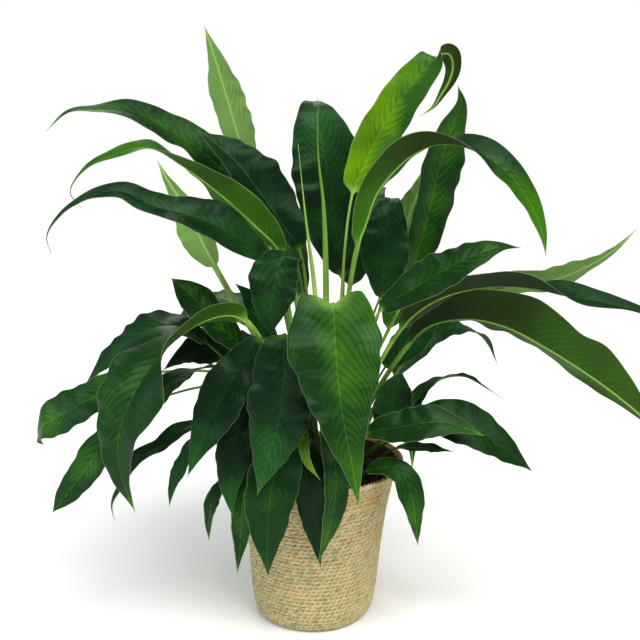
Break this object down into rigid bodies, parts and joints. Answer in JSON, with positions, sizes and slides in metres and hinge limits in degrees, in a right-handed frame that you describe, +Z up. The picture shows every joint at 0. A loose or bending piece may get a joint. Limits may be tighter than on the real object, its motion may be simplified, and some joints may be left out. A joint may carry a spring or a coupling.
{
  "type": "potted peace lily in a woven basket",
  "caption": "Large-leaved peace lily with arching and drooping blades, growing in a black nursery pot that stands in a flared woven seagrass basket.",
  "frame": {"origin": "middle of the basket's foot, on the surface that it stands on", "axes": "+Z up, +X to the right of the pictured front, -Y towards the viewer"},
  "size_m": [1.0814, 0.6787, 1.0574],
  "materials": {
    "seagrass": "dry plaited seagrass, matt",
    "black_plastic": "thin moulded nursery pot, satin",
    "potting_soil": "damp peat potting mix, matt",
    "leaf_dark": "glossy dark green leaf with curved side veins",
    "leaf_green": "glossy mid green leaf with curved side veins",
    "leaf_bright": "light lime leaf, sun shining through",
    "leaf_pale": "pale satin underside of a leaf"
  },
  "bodies": {
    "root": {"basket": "seagrass", "grow_pot": "black_plastic", "potting_soil": "potting_soil", "leaf_tall_left": "leaf_pale", "leaf_arch_left_top": "leaf_green", "leaf_dark_left_back": "leaf_dark", "leaf_arch_left_lit": "leaf_green", "leaf_arch_left_low": "leaf_dark", "leaf_pale_left_upright": "leaf_pale", "leaf_tall_centre_dark": "leaf_dark", "leaf_bright_tall_right": "leaf_bright", "leaf_arch_right_top": "leaf_green", "leaf_tall_right_ribbed": "leaf_green", "leaf_pale_right_back": "leaf_pale", "leaf_dark_right_back": "leaf_dark", "leaf_right_upper": "leaf_green", "leaf_right_long_arch": "leaf_green", "leaf_right_broad_droop": "leaf_green", "leaf_pale_right": "leaf_pale", "leaf_dark_right_low": "leaf_dark", "leaf_right_small_upright": "leaf_dark", "leaf_right_thin": "leaf_green", "leaf_right_low_front": "leaf_green", "leaf_right_low_back": "leaf_green", "leaf_right_low_sliver": "leaf_green", "leaf_rim_right": "leaf_green", "leaf_front_heart": "leaf_green", "leaf_front_dark": "leaf_dark", "leaf_front_left_dark": "leaf_dark", "leaf_front_left_behind": "leaf_dark", "leaf_front_low_bright": "leaf_green", "leaf_front_mid_dark": "leaf_dark", "leaf_front_mid_right": "leaf_green", "leaf_front_young": "leaf_bright", "leaf_left_low_hanging": "leaf_green", "leaf_left_low_curved": "leaf_green", "leaf_left_up_short": "leaf_green", "leaf_left_big_droop": "leaf_green", "leaf_left_behind_arch": "leaf_dark", "leaf_left_broad": "leaf_green", "leaf_left_lower": "leaf_green", "leaf_left_under": "leaf_green", "leaf_left_long_twisted": "leaf_dark", "leaf_left_low_narrow": "leaf_dark", "leaf_left_inner_dark": "leaf_dark", "leaf_left_shaded": "leaf_dark", "leaf_centre_left_dark": "leaf_dark", "leaf_left_back_dark": "leaf_dark", "leaf_back_centre": "leaf_dark", "leaf_back_left": "leaf_green", "leaf_back_low_left": "leaf_green", "leaf_back_right": "leaf_green", "leaf_back_low_right": "leaf_dark", "leaf_back_low_centre": "leaf_dark", "leaf_back_hanging_left": "leaf_green", "leaf_back_hanging_right": "leaf_green", "spear_lime": "leaf_bright", "spear_green": "leaf_green"}
  },
  "joints": []
}
